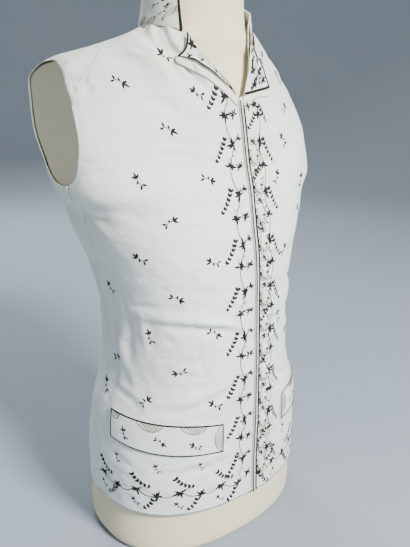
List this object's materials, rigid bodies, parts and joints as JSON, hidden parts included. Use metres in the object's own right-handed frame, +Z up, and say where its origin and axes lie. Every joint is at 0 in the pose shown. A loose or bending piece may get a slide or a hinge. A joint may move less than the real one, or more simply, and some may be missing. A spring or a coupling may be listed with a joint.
{
  "type": "embroidered waistcoat on limbless dress form",
  "caption": "Embroidered cream linen waistcoat, late eighteenth-century cut, with stand collar, small turned-back lapels, pocket welts and covered buttons, worn by a limbless dress form.",
  "frame": {"origin": "under the middle of the whole, on the plane of the dress form's flat underside", "axes": "+Z up, front towards -Y, wearer's left towards +X"},
  "size_m": [0.3794, 0.2682, 0.758],
  "materials": {
    "form_cloth": "matt stretched cover",
    "linen": "matt plain weave, embroidered",
    "trim": "matt cream binding",
    "welt_linen": "matt plain weave, embroidered",
    "button_cloth": "matt cover over a domed core"
  },
  "bodies": {
    "root": {"dress_form": "form_cloth", "front_right": "linen", "front_left": "linen", "back": "linen", "collar": "linen", "lapel_right": "linen", "lapel_left": "linen", "front_band": "trim", "lapel_band_right": "trim", "lapel_band_left": "trim", "pocket_welt_right": "welt_linen", "pocket_welt_left": "welt_linen", "button_01": "button_cloth", "button_02": "button_cloth", "button_03": "button_cloth", "button_04": "button_cloth", "button_05": "button_cloth", "button_06": "button_cloth", "button_07": "button_cloth", "button_08": "button_cloth", "button_09": "button_cloth", "button_10": "button_cloth", "button_11": "button_cloth", "button_12": "button_cloth", "button_13": "button_cloth"}
  },
  "joints": []
}
